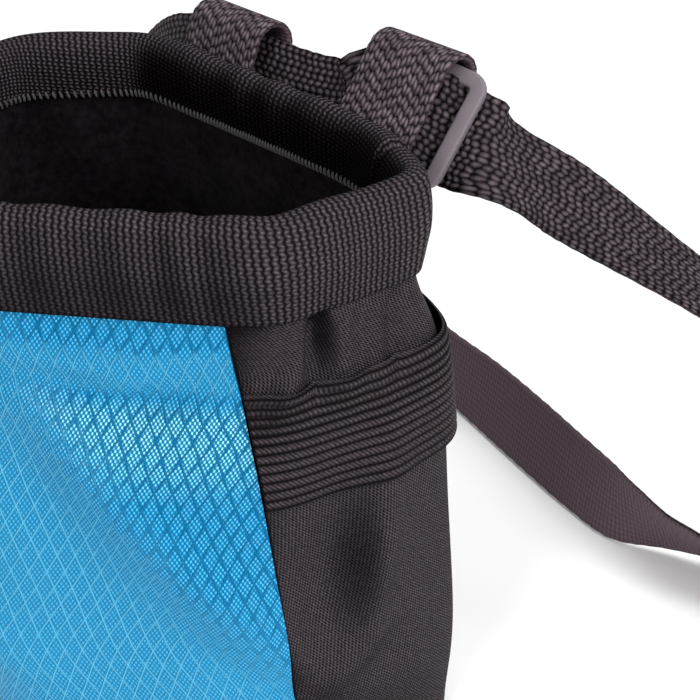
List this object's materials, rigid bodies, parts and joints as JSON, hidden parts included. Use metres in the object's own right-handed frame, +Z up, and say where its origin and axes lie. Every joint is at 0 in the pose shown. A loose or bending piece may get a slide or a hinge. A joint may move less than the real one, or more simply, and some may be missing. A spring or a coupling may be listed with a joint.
{
  "type": "climbing chalk bag",
  "caption": "Open cloth chalk bag with a padded rim, fleece lining, elastic brush band and a webbing waist belt threaded through loops behind the rim",
  "frame": {"origin": "on the floor under the middle of the bag's bottom", "axes": "+Z up, +Y to the back of the bag where the belt runs, +X to the side with the brush band"},
  "size_m": [0.3793, 0.2347, 0.1701],
  "materials": {
    "blue_ripstop": "diamond ripstop, slight sheen",
    "black_oxford": "coarse oxford weave",
    "fleece": "short pile",
    "binding_tape": "ribbed woven tape",
    "elastic": "ribbed elastic",
    "webbing": "coarse woven webbing",
    "grey_plastic": "matt moulded",
    "black_plastic": "matt moulded"
  },
  "bodies": {
    "root": {"front_panel": "blue_ripstop", "body_panel": "black_oxford", "base_panel": "black_oxford", "lining": "fleece", "rim_binding": "binding_tape", "brush_band": "elastic", "belt_loop_left": "webbing", "belt_loop_right": "webbing", "belt_strap": "webbing", "slider": "grey_plastic", "buckle": "black_plastic"}
  },
  "joints": []
}
